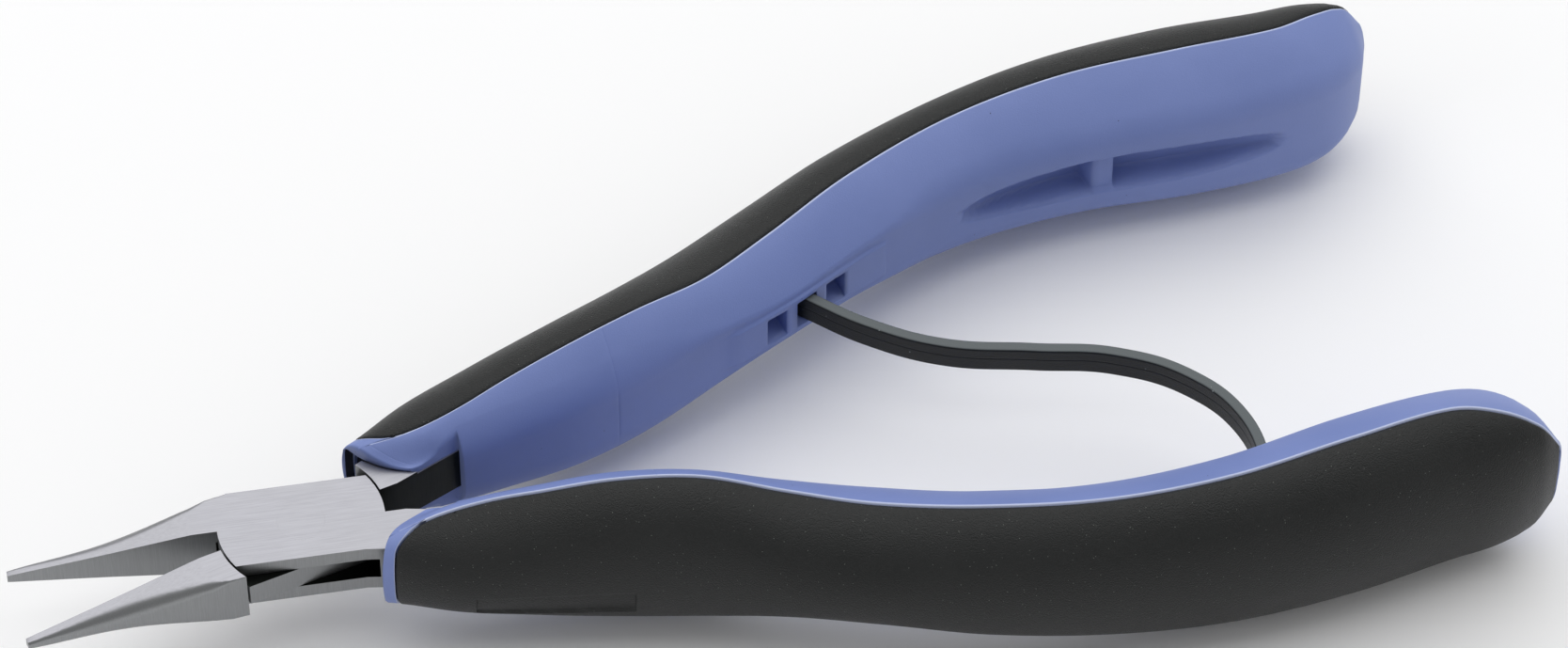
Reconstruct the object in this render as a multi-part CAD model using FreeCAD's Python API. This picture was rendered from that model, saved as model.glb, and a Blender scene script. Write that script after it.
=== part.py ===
"""Slim-nosed hand pliers with a box joint, two moulded two-part grips and an S-shaped return spring.

Units are millimetres and degrees. The pivot axis is Z through the origin, halfway through the
steel. The jaws point along -X and the handles along +X. Each lever is drawn closed, in its own
frame, where the jaws meet on y = 0, and is then turned by half of the open angle.
"""
import FreeCAD
import Part
import math
import os

# Levers
open_angle = 15.5            # between the two levers when nothing squeezes them
steel_thickness = 6.2        # across the two ground flats of the joint
joint_radius = 8.1           # rounded ends of the cheeks
joint_half_width = 4.4       # from the pivot to the long sides of the cheeks
shoulder_half_width = 4.0    # the tongue, and the jaw that grows out of it
tongue_thickness = 2.7       # middle layer of the joint
joint_side_play = 0.06       # on each face of the tongue
joint_end_play = 0.22        # between a cheek's rounded end and the shoulder around it
meeting_play = 0.02          # from each gripping face to the plane where they meet

# Pivot pin
pin_radius = 2.3
pin_running_play = 0.04

# Jaws
jaw_length = 28.45           # from the pivot to the tip
jaw_shoulder = 8.9           # the outer edges stay sharp up to here
shoulder_corner = 0.25
jaw_flat_end = 10.5          # the joint's full thickness reaches this far forward
jaw_flat_width = 3.7         # width of one jaw where its taper starts
root_corner = 1.0            # outer corner radius where the taper starts
jaw_middle = ((0.22, 2.9, 5.0, 1.35), (0.47, 2.07, 3.6, 1.45), (0.75, 1.35, 2.2, 0.92))
tip_width = 0.75
tip_height = 0.95
tip_corner = 0.36            # outer corner radius at the tip

# Tangs inside the grips
tang_straight = 2.0          # length that stays beside the joint before it turns outward
tang_flare = 0.6             # how much wider it is there than the joint
tang_knee = 28.0
tang_bend = 42.0
tang_end = 66.0
tang_knee_span = (3.6, 8.4)
tang_bend_span = (5.8, 10.2)
tang_end_span = (11.6, 14.4)
tang_gap = 0.25              # how far a tang stays from the plane where the jaws meet
tang_relief = 0.3            # ground off each face where the grip covers the tang
pocket_play = 0.1            # between a tang and its pocket

# Grips, one handle drawn closed on the +Y side: (x, value) knots of smooth curves
grip_front = 6.8
grip_end = 120.9
grip_inner = ((5, 1.5), (14, 0.8), (22, 0.5), (30, 0.5), (38, 1.6), (46, 3.3), (54, 4.9), (64, 7.5),
              (76, 9.3), (88, 8.4), (100, 5.9), (110, 4.6), (115, 5.0), (118.8, 7.3), (120.9, 10.5))
grip_outer = ((5, 6.3), (8, 7.2), (14, 9.5), (22, 10.6), (30, 11.5), (38, 12.8), (46, 15.2), (54, 17.5),
              (64, 19.8), (76, 21.2), (88, 21.4), (100, 19.9), (110, 17.4), (115, 16.2), (118.8, 14.4),
              (120.9, 12.6))
grip_seam = ((5, 5.1), (8, 4.5), (13, 3.4), (18, 3.3), (23, 3.8), (30, 4.4), (38, 5.5), (46, 7.4),
             (54, 10.0), (64, 12.8), (76, 14.6), (88, 14.3), (100, 12.1), (110, 10.3), (115, 10.9), (118.8, 11.8),
             (120.9, 11.9))
grip_seam_height = ((5, 4.0), (8, 4.8), (14, 6.1), (22, 7.8), (30, 9.1), (38, 9.2), (46, 7.6), (54, 7.3),
                    (64, 8.3), (76, 9.2), (88, 9.9), (100, 10.4), (110, 10.4), (115, 9.6), (118.8, 7.6),
                    (120.9, 4.3))
grip_inner_height = ((5, 3.6), (14, 3.7), (22, 4.3), (30, 4.8), (38, 4.8), (46, 3.9), (54, 3.1), (64, 3.6),
                     (76, 4.8), (88, 5.2), (100, 5.7), (110, 5.9), (115, 5.6), (118.8, 4.5), (120.9, 2.7))
side_swell = 0.45            # how far the grip's flanks bow outward
section_pitch = 7.0          # between the sections that shape a handle
section_last = 104.0
end_sections = (109.0, 113.0, 116.0, 118.4, 120.0)
hollow_sections = (110.0, 114.0, 116.5)   # the same, under the cover
cover_thickness = 1.8        # soft cover over the hard core
cover_setback = 1.1          # from the core's front rim to the cover

# Mouth at the front of each core
mouth_tip = (6.9, 6.9)
mouth_middle = (9.2, 2.9)
mouth_inner = (13.0, 0.5)
mouth_depth = 17.2           # the core's inner wall starts here

# Spring seats in the core's inner face
notch_places = (52.4, 56.0, 59.6)
notch_width = 2.2
notch_half_height = 1.75
notch_depth = 2.2
trough_start = 76.0
trough_end = 107.0
trough_half_height = 2.6
trough_depth = 3.0
rib_start = 89.4
rib_end = 91.4

# Return spring
spring_thickness = 1.15
spring_height = 3.2
spring_notch = 1             # which of the three notches holds the spring
spring_play = 0.25           # from the spring's ends to the seats
spring_foot = 1.3            # from the rib to the spring's foot, along the trough
spring_foot_lift = 0.3       # how far the strip's middle stays above the trough's floor
spring_head_lift = 0.9       # and above the notch's floor
spring_head_shift = 0.3      # from the notch's middle to the strip's middle
spring_bow = ((0.0, 0.0), (0.15, -0.006), (0.3, 0.016), (0.46, 0.085), (0.6, 0.146), (0.75, 0.163),
              (0.88, 0.122), (1.0, 0.0))

# Plain recessed panel on the lower cover
panel_start = 15.6
panel_end = 30.6
panel_top = -0.2
panel_bottom = -3.4
panel_depth = 0.3

half_thickness = steel_thickness / 2
slot_radius = joint_radius + joint_end_play
tang_root = joint_radius * 0.7   # where a tang's outline starts, inside the joint
tall = 40.0                  # taller than anything that it cuts


def vec(x, y, z=0.0):
    return FreeCAD.Vector(x, y, z)


def smooth(knots, x):
    """Value at x of the smooth curve through the knots."""
    x = min(max(x, knots[0][0]), knots[-1][0])
    slopes = []
    for i in range(len(knots)):
        before = knots[max(i - 1, 0)]
        after = knots[min(i + 1, len(knots) - 1)]
        slopes.append((after[1] - before[1]) / (after[0] - before[0]))
    for i in range(len(knots) - 1):
        x0, y0 = knots[i]
        x1, y1 = knots[i + 1]
        if x <= x1:
            break
    span = x1 - x0
    t = (x - x0) / span
    rise = y0 * (2 * t**3 - 3 * t**2 + 1) + y1 * (3 * t**2 - 2 * t**3)
    lean = slopes[i] * (t**3 - 2 * t**2 + t) + slopes[i + 1] * (t**3 - t**2)
    return rise + span * lean


def curve(points):
    """Edge of a smooth curve through the points."""
    spline = Part.BSplineCurve()
    spline.interpolate(points)
    return spline.toShape()


def prism(edges, bottom, top):
    """Plan outline, given as edges on z = 0, raised from bottom to top."""
    face = Part.Face(Part.Wire(Part.__sortEdges__(edges)))
    face.translate(vec(0, 0, bottom))
    return face.extrude(vec(0, 0, top - bottom))


def lines(points):
    """Straight edges around a closed outline."""
    ends = points[1:] + points[:1]
    return [Part.makeLine(vec(*a), vec(*b)) for a, b in zip(points, ends)]


def box(x0, x1, y0, y1, z0, z1):
    return Part.makeBox(x1 - x0, y1 - y0, z1 - z0, vec(x0, y0, z0))


def disc(radius, bottom, top):
    return Part.makeCylinder(radius, top - bottom, vec(0, 0, bottom))


def barrel(half_width, bottom, top):
    """Joint plate: straight long sides and rounded ends about the pivot."""
    plate = box(-joint_radius, joint_radius, -half_width, half_width, bottom, top)
    return plate.common(disc(joint_radius, bottom, top))


def jaw_section(x, width, height, corner):
    """Square inner side and an outer side with two rounded corners."""
    near = -1.0
    flat = width - corner
    slant = corner * (1 - math.sqrt(0.5))
    high = height / 2
    low = -high
    edges = [
        Part.makeLine(vec(x, near, low), vec(x, near, high)),
        Part.makeLine(vec(x, near, high), vec(x, flat, high)),
        Part.Arc(vec(x, flat, high), vec(x, width - slant, high - slant), vec(x, width, high - corner)).toShape(),
        Part.makeLine(vec(x, width, high - corner), vec(x, width, low + corner)),
        Part.Arc(vec(x, width, low + corner), vec(x, width - slant, low + slant), vec(x, flat, low)).toShape(),
        Part.makeLine(vec(x, flat, low), vec(x, near, low)),
    ]
    return Part.Wire(edges)


def jaw(root_width, root):
    """One jaw on the +Y side, from inside the joint to the tip."""
    share = (jaw_shoulder - root) / (jaw_flat_end - root)
    shoulder_width = root_width + share * (jaw_flat_width - root_width)
    base = jaw_section(-root, root_width, steel_thickness, shoulder_corner / 2)
    shoulder = jaw_section(-jaw_shoulder, shoulder_width, steel_thickness, shoulder_corner)
    flat = jaw_section(-jaw_flat_end, jaw_flat_width, steel_thickness, root_corner)
    tapered = [flat]
    for part, width, height, corner in jaw_middle:
        place = jaw_flat_end + part * (jaw_length - jaw_flat_end)
        tapered.append(jaw_section(-place, width, height, corner))
    tapered.append(jaw_section(-jaw_length, tip_width, tip_height, tip_corner))
    stock = Part.makeLoft([base, shoulder], True, True)
    stock = stock.fuse([Part.makeLoft([shoulder, flat], True, True), Part.makeLoft(tapered, True, False)])
    return stock.cut(box(-jaw_length - 1, 0, -2, meeting_play, -tall / 2, tall / 2))


def tang_outline(root_width, root, play):
    """Plan of the tang on the +Y side."""
    straight = joint_radius + tang_straight
    return [
        (root, tang_gap - play),
        (straight, tang_gap - play),
        (tang_knee, tang_knee_span[0] - play),
        (tang_bend, tang_bend_span[0] - play),
        (tang_end + play, tang_end_span[0] - play),
        (tang_end + play, tang_end_span[1] + play),
        (tang_bend, tang_bend_span[1] + play),
        (tang_knee, tang_knee_span[1] + play),
        (straight, root_width + tang_flare + play),
        (root, root_width + play),
    ]


def tang(root_width, root):
    """Tang on the +Y side, at the steel's full thickness."""
    return prism(lines(tang_outline(root_width, root, 0.0)), -half_thickness, half_thickness)


def relief():
    """Skin that is ground off both faces of a lever where the +Y grip covers it."""
    covered = box(0, grip_end, -5, tall, -tall / 2, tall / 2)
    covered = covered.cut(prism(mouth_edges(-pocket_play), -tall / 2, tall / 2))
    high = half_thickness - tang_relief
    return covered.cut(box(0, grip_end, -5, tall, -high, high))


def pocket(root_width, root):
    """Room for the tang inside a core."""
    high = half_thickness - tang_relief + pocket_play
    return prism(lines(tang_outline(root_width, root, pocket_play)), -high, high)


def turned(shape, side):
    """Lever frame to rest pose: side is 1 for the upper handle's lever and -1 for the other."""
    shape = shape.copy()
    shape.rotate(vec(0, 0, 0), vec(0, 0, 1), side * open_angle / 2)
    return shape


def mirrored(shape):
    return shape.mirror(vec(0, 0, 0), vec(0, 1, 0))


def cheek_lever():
    """Upper jaw, two cheeks and the lower handle's tang, in one piece."""
    root = math.sqrt(joint_radius**2 - joint_half_width**2)
    plates = barrel(joint_half_width, -half_thickness, half_thickness)
    body = plates.fuse([jaw(joint_half_width, root), mirrored(tang(joint_half_width, tang_root))])
    body = body.cut(mirrored(relief()))
    half_slot = tongue_thickness / 2 + joint_side_play
    body = body.cut(disc(slot_radius, -half_slot, half_slot))
    body = body.cut(disc(pin_radius, -half_thickness, half_thickness))
    return turned(body.removeSplitter(), -1)


def tongue_lever():
    """Lower jaw, the tongue between the cheeks and the upper handle's tang, in one piece."""
    root = math.sqrt(slot_radius**2 - shoulder_half_width**2)
    body = mirrored(jaw(shoulder_half_width, root)).fuse(tang(shoulder_half_width, root))
    body = body.cut(relief())
    half_tongue = tongue_thickness / 2
    for bottom, top in ((half_tongue, half_thickness), (-half_thickness, -half_tongue)):
        body = body.cut(disc(slot_radius, bottom, top))
    body = body.fuse(barrel(shoulder_half_width, -half_tongue, half_tongue))
    body = body.cut(disc(pin_radius + pin_running_play, -half_tongue, half_tongue))
    return turned(body.removeSplitter(), 1)


def pivot_pin():
    """Plain pin, ground flush with both flats of the joint."""
    return disc(pin_radius, -half_thickness, half_thickness)


def grip_section(x, inset, seam_only=False):
    """Closed section of a handle at x; inset shrinks the outer side."""
    seam = smooth(grip_seam, x)
    high = smooth(grip_seam_height, x) - inset
    outer = max(smooth(grip_outer, x) - inset, seam + 0.4)
    round_side = []
    for i in range(9):
        turn = math.pi / 2 * (1 - i / 4)
        round_side.append(vec(x, seam + (outer - seam) * math.cos(turn), high * math.sin(turn)))
    if seam_only:
        inner = seam - 1.0
        inner_high = high
        swell = 0.0
    else:
        inner = smooth(grip_inner, x)
        inner_high = smooth(grip_inner_height, x)
        swell = side_swell
    middle = (inner + seam) / 2
    flank = (inner_high + high) / 2 + swell
    edges = [
        Part.makeLine(vec(x, inner, -inner_high), vec(x, inner, inner_high)),
        curve([vec(x, inner, inner_high), vec(x, middle, flank), vec(x, seam, high)]),
        curve(round_side),
        curve([vec(x, seam, -high), vec(x, middle, -flank), vec(x, inner, -inner_high)]),
    ]
    return Part.Wire(edges)


def stations(first, last, pitch):
    count = int(round((last - first) / pitch))
    return [first + (last - first) * i / count for i in range(count + 1)]


def handle(inset=0.0, seam_only=False):
    """Whole handle as one smooth solid."""
    end = grip_end - inset
    places = stations(grip_front - 1.5, section_last, section_pitch)
    if seam_only:
        places += hollow_sections
    else:
        places += end_sections + (end,)
    return Part.makeLoft([grip_section(x, inset, seam_only) for x in places], True, False)


def mouth_edges(shift):
    """Front edge of a handle in plan, closed in front of it."""
    inner = (mouth_inner[0] + shift, mouth_inner[1])
    points = [(p[0] + shift, p[1]) for p in (mouth_tip, mouth_middle)] + [inner]
    lip = Part.Arc(*[vec(*p) for p in points]).toShape()
    around = [inner, (inner[0], -5.0), (-5.0, -5.0), (-5.0, 30.0), (points[0][0], 30.0), points[0]]
    return [lip] + [Part.makeLine(vec(*a), vec(*b)) for a, b in zip(around, around[1:])]


def seam_region():
    """Everything outside the seam between core and cover, in plan."""
    first = grip_front - 3.0
    last = grip_end + 1.0
    points = [vec(x, smooth(grip_seam, x)) for x in stations(first, last, 4.0)]
    far = 40.0
    around = [(last, points[-1].y), (last, far), (first, far), (first, points[0].y)]
    edges = [curve(points)] + [Part.makeLine(vec(*a), vec(*b)) for a, b in zip(around, around[1:])]
    return prism(edges, -tall / 2, tall / 2)


def grip_cover(whole):
    """Soft outer cover of one handle."""
    cover = whole.common(seam_region()).cut(handle(cover_thickness, True))
    cover = cover.cut(prism(mouth_edges(cover_setback), -tall / 2, tall / 2))
    return max(cover.Solids, key=lambda s: s.Volume)


def trough():
    """Long oval hollow in the inner face, crossed by a rib."""
    middle = (trough_start + trough_end) / 2
    half = (trough_end - trough_start) / 2
    floor = []
    for x in stations(trough_start, trough_end, 3.1):
        depth = trough_depth * math.sqrt(max(1 - ((x - middle) / half)**2, 0.0))
        floor.append(vec(x, smooth(grip_inner, x) + depth))
    around = [(trough_end, floor[-1].y), (trough_end, 0.0), (trough_start, 0.0), (trough_start, floor[0].y)]
    edges = [curve(floor)] + [Part.makeLine(vec(*a), vec(*b)) for a, b in zip(around, around[1:])]
    hollow = prism(edges, -trough_half_height, trough_half_height)
    return hollow.cut(box(rib_start, rib_end, 0, 30, -tall / 2, tall / 2))


def notch(x):
    floor = smooth(grip_inner, x) + notch_depth
    return box(x - notch_width / 2, x + notch_width / 2, 0, floor, -notch_half_height, notch_half_height)


def grip_core(whole, cover, root_width):
    """Hard inner body of one handle, hollow for the tang, with the spring seats."""
    core = whole.cut(cover)
    core = core.cut(prism(mouth_edges(0.0), -tall / 2, tall / 2))
    outline = tang_outline(root_width, tang_root, pocket_play)
    opening = [(mouth_inner[0] - 1.0, -5.0), (mouth_depth, -5.0)]
    knee = [p for p in outline if p[0] > mouth_depth][0]
    straight = outline[1]
    share = (mouth_depth - straight[0]) / (knee[0] - straight[0])
    wall = straight[1] + share * (knee[1] - straight[1]) + 1.0
    opening += [(mouth_depth, wall), (mouth_inner[0] - 1.0, wall)]
    core = core.cut(prism(lines(opening), -tall / 2, tall / 2).common(below_tang(outline)))
    core = core.cut(pocket(root_width, tang_root))
    for place in notch_places:
        core = core.cut(notch(place))
    core = core.cut(trough())
    return max(core.Solids, key=lambda s: s.Volume)


def below_tang(outline):
    """Plan region between the tang's inner edge and the other handle."""
    inner = outline[:4]
    return prism(lines(inner + [(inner[-1][0], -6.0), (inner[0][0], -6.0)]), -tall / 2, tall / 2)


def panel(cover):
    """Cut the plain recessed panel into a cover on the +Y side."""
    patch = box(panel_start, panel_end, 0, 30, panel_bottom, panel_top)
    return cover.cut(patch.cut(handle(panel_depth)))


def spring_end(x, inward, side):
    """Point on a handle's inner face, moved into it, in the rest pose."""
    point = vec(x, side * (smooth(grip_inner, x) + inward))
    turn = math.radians(side * open_angle / 2)
    return vec(point.x * math.cos(turn) - point.y * math.sin(turn),
               point.x * math.sin(turn) + point.y * math.cos(turn))


def return_spring():
    """S-shaped strip from a notch of the upper handle to the trough of the lower one."""
    head = notch_places[spring_notch] - spring_head_shift
    start = spring_end(head, notch_depth - spring_play - spring_head_lift, 1)
    foot = rib_end + spring_thickness / 2 + spring_foot
    middle = (trough_start + trough_end) / 2
    half = (trough_end - trough_start) / 2
    floor = trough_depth * math.sqrt(1 - ((foot - middle) / half)**2)
    end = spring_end(foot, floor - spring_play - spring_foot_lift, -1)
    along = end.sub(start)
    across = vec(-along.y, along.x)
    path = [start.add(along * s).add(across * n) for s, n in spring_bow]
    spine = Part.BSplineCurve()
    spine.interpolate(path)
    sides = ([], [])
    for i in range(25):
        at = spine.FirstParameter + (spine.LastParameter - spine.FirstParameter) * i / 24
        point = spine.value(at)
        direction = spine.tangent(at)[0]
        normal = vec(-direction.y, direction.x) * (spring_thickness / 2)
        sides[0].append(point.add(normal))
        sides[1].append(point.sub(normal))
    edges = [curve(sides[0]), curve(sides[1])]
    edges += [Part.makeLine(sides[0][i], sides[1][i]) for i in (0, -1)]
    return prism(edges, -spring_height / 2, spring_height / 2)


def build():
    whole = handle()
    cover = grip_cover(whole)
    upper_core = grip_core(whole, cover, shoulder_half_width)
    lower_core = grip_core(whole, cover, joint_half_width)
    return {
        "cheek_lever": cheek_lever(),
        "tongue_lever": tongue_lever(),
        "pivot_pin": pivot_pin(),
        "upper_grip_core": turned(upper_core, 1),
        "upper_grip_cover": turned(cover, 1),
        "lower_grip_core": turned(mirrored(lower_core), -1),
        "lower_grip_cover": turned(mirrored(panel(cover)), -1),
        "return_spring": return_spring(),
    }


os.makedirs("parts", exist_ok=True)
for name, shape in build().items():
    shape.exportStep("parts/" + name + ".step")
    print(name, "solids", len(shape.Solids), "valid", shape.isValid(), "volume", round(shape.Volume, 1))
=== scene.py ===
import bpy
import bmesh
import math
from mathutils import Matrix, Vector


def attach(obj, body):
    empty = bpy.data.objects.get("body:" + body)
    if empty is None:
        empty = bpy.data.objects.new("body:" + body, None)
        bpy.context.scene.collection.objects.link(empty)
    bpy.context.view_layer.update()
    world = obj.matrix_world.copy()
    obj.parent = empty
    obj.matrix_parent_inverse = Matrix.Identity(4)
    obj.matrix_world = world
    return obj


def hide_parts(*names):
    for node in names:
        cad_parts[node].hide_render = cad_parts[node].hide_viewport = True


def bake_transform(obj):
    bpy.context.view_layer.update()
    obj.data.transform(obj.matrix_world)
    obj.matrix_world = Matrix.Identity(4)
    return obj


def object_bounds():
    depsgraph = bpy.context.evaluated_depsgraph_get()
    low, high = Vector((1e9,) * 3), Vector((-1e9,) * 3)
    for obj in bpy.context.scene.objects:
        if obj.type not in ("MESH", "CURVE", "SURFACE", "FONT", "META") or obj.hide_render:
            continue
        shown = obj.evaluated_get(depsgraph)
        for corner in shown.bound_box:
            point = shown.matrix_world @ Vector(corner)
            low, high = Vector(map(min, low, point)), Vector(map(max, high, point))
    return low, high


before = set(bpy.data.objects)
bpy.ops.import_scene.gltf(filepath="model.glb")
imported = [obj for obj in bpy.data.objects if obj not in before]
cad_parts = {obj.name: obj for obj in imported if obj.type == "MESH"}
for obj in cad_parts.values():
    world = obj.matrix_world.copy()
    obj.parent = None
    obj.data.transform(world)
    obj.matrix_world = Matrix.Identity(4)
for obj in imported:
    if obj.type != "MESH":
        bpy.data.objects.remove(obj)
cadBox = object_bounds()
print("frame loaded")

mm = 0.001
scene = bpy.context.scene
openAngle = 15.5  # between the two levers at rest, in degrees


# One curve through (x, value) knots, with smooth slopes
def along(knots, x):
    x = min(max(x, knots[0][0]), knots[-1][0])
    last = len(knots) - 1
    i = 0
    while i < last - 1 and x > knots[i + 1][0]:
        i += 1
    slope = []
    for k in (i, i + 1):
        a, b = knots[max(k - 1, 0)], knots[min(k + 1, last)]
        slope.append((b[1] - a[1]) / (b[0] - a[0]))
    (x0, y0), (x1, y1) = knots[i], knots[i + 1]
    t = (x - x0) / (x1 - x0)
    rise = y0 * (2 * t**3 - 3 * t**2 + 1) + y1 * (3 * t**2 - 2 * t**3)
    return rise + (x1 - x0) * (slope[0] * (t**3 - 2 * t**2 + t) + slope[1] * (t**3 - t**2))


def ease(a, b, x):
    t = min(max((x - a) / (b - a), 0.0), 1.0)
    return t * t * (3 - 2 * t)


# From a lever drawn closed, in millimetres, to the rest pose in metres; side is 1 for the upper handle
def placed(point, side):
    turn = math.radians(side * openAngle / 2)
    x, y, z = point[0], point[1] * side, point[2]
    return (mm * (x * math.cos(turn) - y * math.sin(turn)), mm * (x * math.sin(turn) + y * math.cos(turn)), mm * z)


def makePiece(name, points, faces, materials, paintedHighlight=None, paintedShadeFaces=()):
    mesh = bpy.data.meshes.new(name)
    mesh.from_pydata(points, [], faces)
    # listed faces get the second material, a painted shade
    for index in paintedShadeFaces:
        mesh.polygons[index].material_index = 1
    # a share of painted highlight for each point
    if paintedHighlight:
        mesh.attributes.new("seamHighlight", "FLOAT", "POINT").data.foreach_set("value", paintedHighlight)
    work = bmesh.new()
    work.from_mesh(mesh)
    bmesh.ops.remove_doubles(work, verts=work.verts, dist=1e-7)
    bmesh.ops.dissolve_degenerate(work, edges=work.edges, dist=1e-8)
    bmesh.ops.recalc_face_normals(work, faces=work.faces)
    work.to_mesh(mesh)
    work.free()
    mesh.polygons.foreach_set("use_smooth", [True] * len(mesh.polygons))
    for material in materials:
        mesh.materials.append(material)
    piece = bpy.data.objects.new(name, mesh)
    scene.collection.objects.link(piece)
    return piece


# Short ways to build shader and geometry nodes
def addNode(tree, kind, **settings):
    node = tree.nodes.new(kind)
    for key, value in settings.items():
        if key == "values":
            for socket, number in value.items():
                node.inputs[socket].default_value = number
        else:
            setattr(node, key, value)
    return node


def newGroup(name, inputs, outputs):
    group = bpy.data.node_groups.new(name, "ShaderNodeTree")
    for label, kind, value in inputs:
        socket = group.interface.new_socket(name=label, in_out="INPUT", socket_type=kind)
        if value is not None:
            socket.default_value = value
    for label, kind in outputs:
        group.interface.new_socket(name=label, in_out="OUTPUT", socket_type=kind)
    return group, group.nodes.new("NodeGroupInput"), group.nodes.new("NodeGroupOutput")


def maths(tree, operation, a, b=None, clamp=False):
    node = addNode(tree, "ShaderNodeMath", operation=operation, use_clamp=clamp)
    for socket, value in zip(node.inputs, (a, b)):
        if value is None:
            continue
        if isinstance(value, (int, float)):
            socket.default_value = value
        else:
            tree.links.new(value, socket)
    return node.outputs[0]


def ramp(tree, value, stops):
    node = addNode(tree, "ShaderNodeValToRGB")
    tree.links.new(value, node.inputs[0])
    while len(node.color_ramp.elements) < len(stops):
        node.color_ramp.elements.new(0.5)
    for element, (place, colour) in zip(node.color_ramp.elements, stops):
        element.position = place
        element.color = (*colour, 1) if isinstance(colour, tuple) else (colour, colour, colour, 1)
    return node.outputs[0]


def blendColour(tree, share, a, b, how="MIX"):
    node = addNode(tree, "ShaderNodeMix", data_type="RGBA", blend_type=how)
    for socket, value in ((node.inputs[0], share), (node.inputs[6], a), (node.inputs[7], b)):
        if isinstance(value, (tuple, float, int)):
            socket.default_value = (*value, 1) if isinstance(value, tuple) else value
        else:
            tree.links.new(value, socket)
    return node.outputs[2]


# Moulded skin: fine pebbles, a slower mottle and sparse dust, from one position
def mouldedGroup():
    group, entry, leave = newGroup("mouldedSkin",
        [("Vector", "NodeSocketVector", None), ("Pebble Scale", "NodeSocketFloat", 2000.0),
         ("Pebble Depth", "NodeSocketFloat", 1.0), ("Dust Scale", "NodeSocketFloat", 500.0),
         ("Dust Amount", "NodeSocketFloat", 0.1)],
        [("Height", "NodeSocketFloat"), ("Mottle", "NodeSocketFloat"), ("Dust", "NodeSocketFloat")])
    link = group.links.new
    pebble = addNode(group, "ShaderNodeTexVoronoi", feature="SMOOTH_F1", values={"Smoothness": 0.6})
    fine = addNode(group, "ShaderNodeTexNoise", values={"Detail": 3.0, "Roughness": 0.6})
    mottle = addNode(group, "ShaderNodeTexNoise", values={"Scale": 90.0, "Detail": 4.0})
    dust = addNode(group, "ShaderNodeTexVoronoi", feature="F1", values={"Randomness": 1.0})
    for node in (pebble, fine, mottle, dust):
        link(entry.outputs["Vector"], node.inputs["Vector"])
    link(entry.outputs["Pebble Scale"], pebble.inputs["Scale"])
    link(maths(group, "MULTIPLY", entry.outputs["Pebble Scale"], 1.7), fine.inputs["Scale"])
    link(entry.outputs["Dust Scale"], dust.inputs["Scale"])
    bumps = maths(group, "SUBTRACT", 1.0, pebble.outputs["Distance"])
    both = maths(group, "ADD", bumps, maths(group, "MULTIPLY", fine.outputs[0], 0.5))
    link(maths(group, "MULTIPLY", both, entry.outputs["Pebble Depth"]), leave.inputs["Height"])
    link(mottle.outputs[0], leave.inputs["Mottle"])
    speck = maths(group, "LESS_THAN", dust.outputs["Distance"], 0.16)
    lot = addNode(group, "ShaderNodeSeparateColor")
    link(dust.outputs["Color"], lot.inputs[0])
    chosen = maths(group, "LESS_THAN", lot.outputs[0], entry.outputs["Dust Amount"])
    link(maths(group, "MULTIPLY", speck, chosen), leave.inputs["Dust"])
    return group


# Brushing: long fine lines along one axis, a few stray scratches across, and soft stains
def brushedGroup():
    group, entry, leave = newGroup("brushedLines",
        [("Vector", "NodeSocketVector", None), ("Line Scale", "NodeSocketFloat", 9000.0),
         ("Stretch", "NodeSocketFloat", 0.02)],
        [("Lines", "NodeSocketFloat"), ("Scratches", "NodeSocketFloat"), ("Stain", "NodeSocketFloat")])
    link = group.links.new
    parts = addNode(group, "ShaderNodeSeparateXYZ")
    link(entry.outputs["Vector"], parts.inputs[0])
    squeezed = addNode(group, "ShaderNodeCombineXYZ")
    link(maths(group, "MULTIPLY", parts.outputs[0], entry.outputs["Stretch"]), squeezed.inputs[0])
    link(parts.outputs[1], squeezed.inputs[1])
    link(parts.outputs[2], squeezed.inputs[2])
    lines = addNode(group, "ShaderNodeTexNoise", values={"Detail": 4.0, "Roughness": 0.65})
    link(squeezed.outputs[0], lines.inputs["Vector"])
    link(entry.outputs["Line Scale"], lines.inputs["Scale"])
    tilted = addNode(group, "ShaderNodeMapping", values={"Rotation": (0, 0, 1.15), "Scale": (1.0, 0.03, 1.0)})
    link(entry.outputs["Vector"], tilted.inputs[0])
    cross = addNode(group, "ShaderNodeTexNoise", values={"Scale": 1500.0, "Detail": 2.0})
    link(tilted.outputs[0], cross.inputs["Vector"])
    stain = addNode(group, "ShaderNodeTexNoise", values={"Scale": 160.0, "Detail": 5.0, "Roughness": 0.6})
    link(entry.outputs["Vector"], stain.inputs["Vector"])
    link(lines.outputs[0], leave.inputs["Lines"])
    link(ramp(group, cross.outputs[0], ((0.0, 0.0), (0.69, 0.0), (0.74, 1.0))), leave.inputs["Scratches"])
    link(stain.outputs[0], leave.inputs["Stain"])
    return group


mouldedSkin = mouldedGroup()
brushedLines = brushedGroup()


def newMaterial(name, **fixed):
    material = bpy.data.materials.new(name)
    material.use_nodes = True
    tree = material.node_tree
    shader = tree.nodes["Principled BSDF"]
    for socket, value in fixed.items():
        shader.inputs[socket.replace("_", " ")].default_value = value
    place = addNode(tree, "ShaderNodeTexCoord")
    return material, tree, shader, place.outputs["Object"]


def bump(tree, shader, height, strength, distance):
    node = addNode(tree, "ShaderNodeBump", values={"Strength": strength, "Distance": distance})
    tree.links.new(height, node.inputs["Height"])
    tree.links.new(node.outputs[0], shader.inputs["Normal"])


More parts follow.
